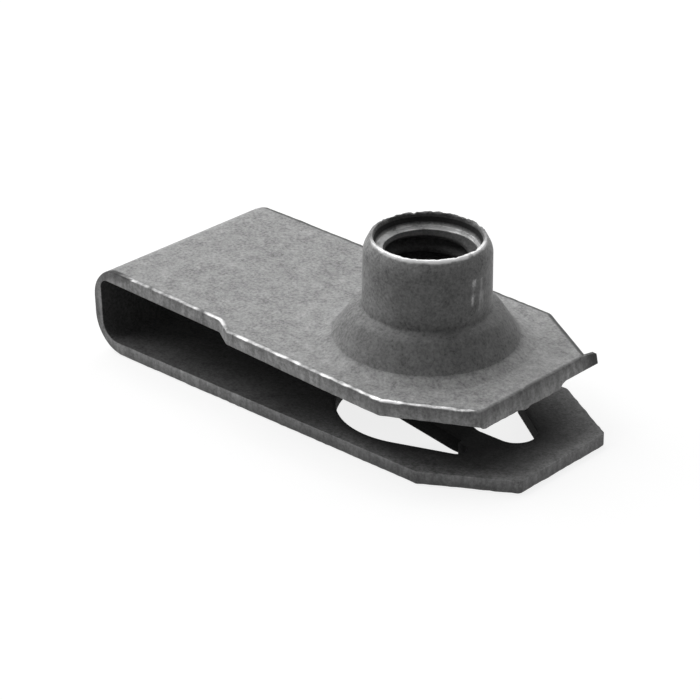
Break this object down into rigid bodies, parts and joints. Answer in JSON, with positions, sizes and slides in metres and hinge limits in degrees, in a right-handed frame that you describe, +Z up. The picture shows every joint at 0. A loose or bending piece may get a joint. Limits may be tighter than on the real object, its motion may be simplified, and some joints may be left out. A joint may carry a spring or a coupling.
{
  "type": "u clip speed nut",
  "caption": "Folded spring steel clip nut: it slides over a panel's edge and holds a threaded barrel in line with the panel's hole.",
  "frame": {"origin": "under the middle of the clip's length and width, in the plane that the lower leg lies on", "axes": "+X towards the open end of the U, +Z up from the lower leg to the barrel, Y across the clip"},
  "size_m": [0.034, 0.016, 0.0124],
  "materials": {
    "spring_steel": "matt grey phosphate coating over spring steel, with bare sheared edges"
  },
  "bodies": {
    "root": {"u_nut_clip": "spring_steel"}
  },
  "joints": []
}
